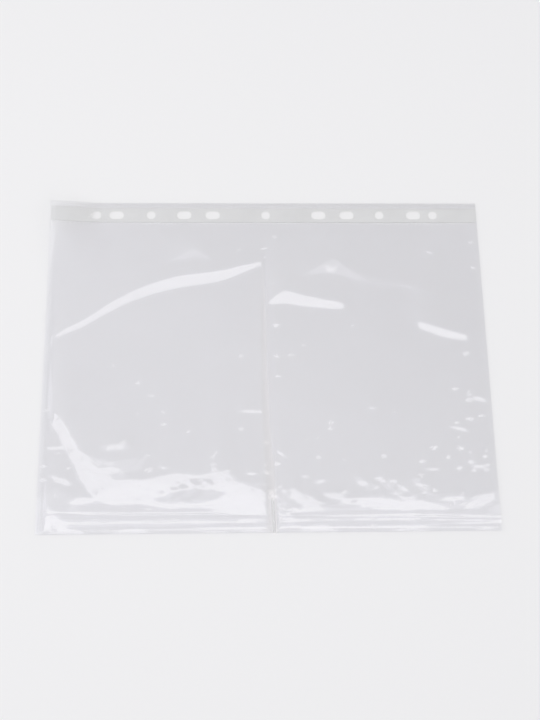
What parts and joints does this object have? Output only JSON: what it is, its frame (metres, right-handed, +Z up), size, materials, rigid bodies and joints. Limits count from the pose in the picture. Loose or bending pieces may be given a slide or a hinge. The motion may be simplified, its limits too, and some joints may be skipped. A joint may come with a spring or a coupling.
{
  "type": "sheet protector",
  "caption": "Clear punched pocket of thin film for loose sheets, open at one end, with a white strip of ring holes along one long side and a crease where it folds in half.",
  "frame": {"origin": "on the underside, in the middle of the flat pocket", "axes": "+X along the punched strip towards the open end, +Y towards the strip, +Z up out of the front film"},
  "size_m": [0.304, 0.238, 0.0006],
  "materials": {
    "film": "clear glossy polypropylene film",
    "strip": "white translucent polypropylene",
    "weld": "fused clear film"
  },
  "bodies": {
    "left_half": {"back_film_left": "film", "front_film_left": "film", "bottom_fold_left": "film", "punched_strip_left": "strip", "strip_upper_weld_left": "weld", "strip_lower_weld_left": "weld", "end_weld": "weld"},
    "right_half": {"back_film_right": "film", "front_film_right": "film", "bottom_fold_right": "film", "punched_strip_right": "strip", "strip_upper_weld_right": "weld", "strip_lower_weld_right": "weld"}
  },
  "joints": [
    {"name": "crease_fold", "type": "hinge", "parent": "left_half", "child": "right_half", "pos_m": [0.0003, 0, 0.003], "axis": [0.0336, -0.9994, 0], "range_deg": [0, 180]}
  ]
}
